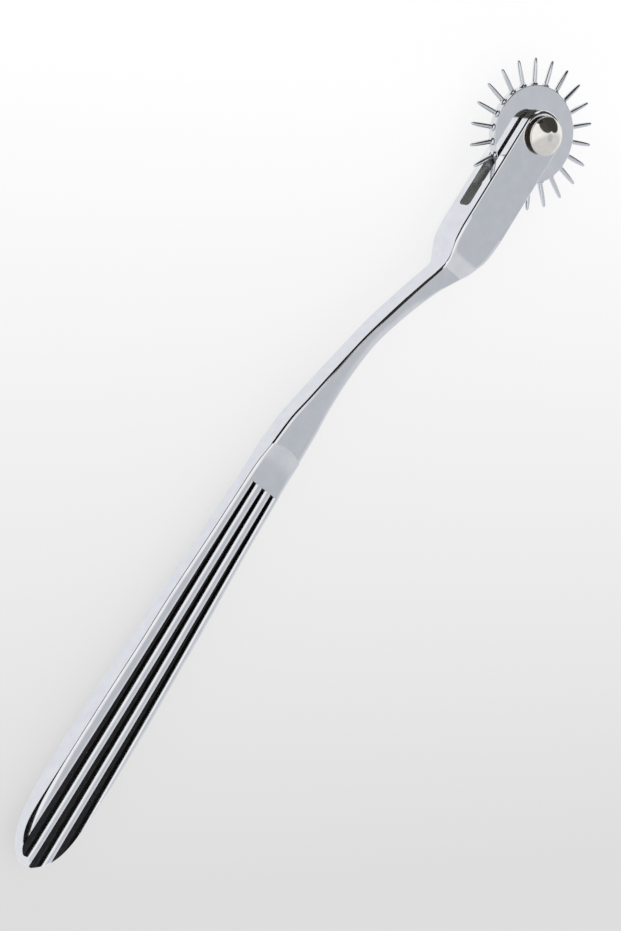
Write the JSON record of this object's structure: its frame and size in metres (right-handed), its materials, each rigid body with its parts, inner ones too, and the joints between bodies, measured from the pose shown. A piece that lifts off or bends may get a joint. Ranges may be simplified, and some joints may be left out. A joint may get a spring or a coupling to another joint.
{
  "type": "neurological pinwheel",
  "caption": "Spiked wheel that turns freely in the fork of a long fluted metal handle, for testing skin sensation.",
  "frame": {"origin": "bottom centre of the whole object's box: on the level of the axle screw's slotted head, which it lies on", "axes": "+X along the handle towards the wheel, +Z along the axle towards its domed head"},
  "size_m": [0.19, 0.0324, 0.0117],
  "materials": {
    "handle_chrome": "polished",
    "wheel_chrome": "polished, faintly turned",
    "head_nickel": "polished, slightly warm",
    "pin_steel": "bright",
    "small_steel": "satin",
    "bearing_bronze": "satin"
  },
  "bodies": {
    "handle": {"handle_fork_body": "handle_chrome", "axle_post": "head_nickel", "head_washer": "small_steel", "axle_screw": "small_steel", "rear_washer": "small_steel", "front_spacer": "bearing_bronze", "rear_spacer": "bearing_bronze"},
    "wheel": {"wheel_disc": "wheel_chrome", "wheel_bush": "bearing_bronze", "pin_01": "pin_steel", "pin_02": "pin_steel", "pin_03": "pin_steel", "pin_04": "pin_steel", "pin_05": "pin_steel", "pin_06": "pin_steel", "pin_07": "pin_steel", "pin_08": "pin_steel", "pin_09": "pin_steel", "pin_10": "pin_steel", "pin_11": "pin_steel", "pin_12": "pin_steel", "pin_13": "pin_steel", "pin_14": "pin_steel", "pin_15": "pin_steel", "pin_16": "pin_steel", "pin_17": "pin_steel", "pin_18": "pin_steel", "pin_19": "pin_steel", "pin_20": "pin_steel", "pin_21": "pin_steel", "pin_22": "pin_steel"}
  },
  "joints": [
    {"name": "wheel_spin", "type": "hinge", "parent": "handle", "child": "wheel", "pos_m": [0.07981, -0.00105, 0.00526], "axis": [0, 0, 1], "continuous": true}
  ]
}
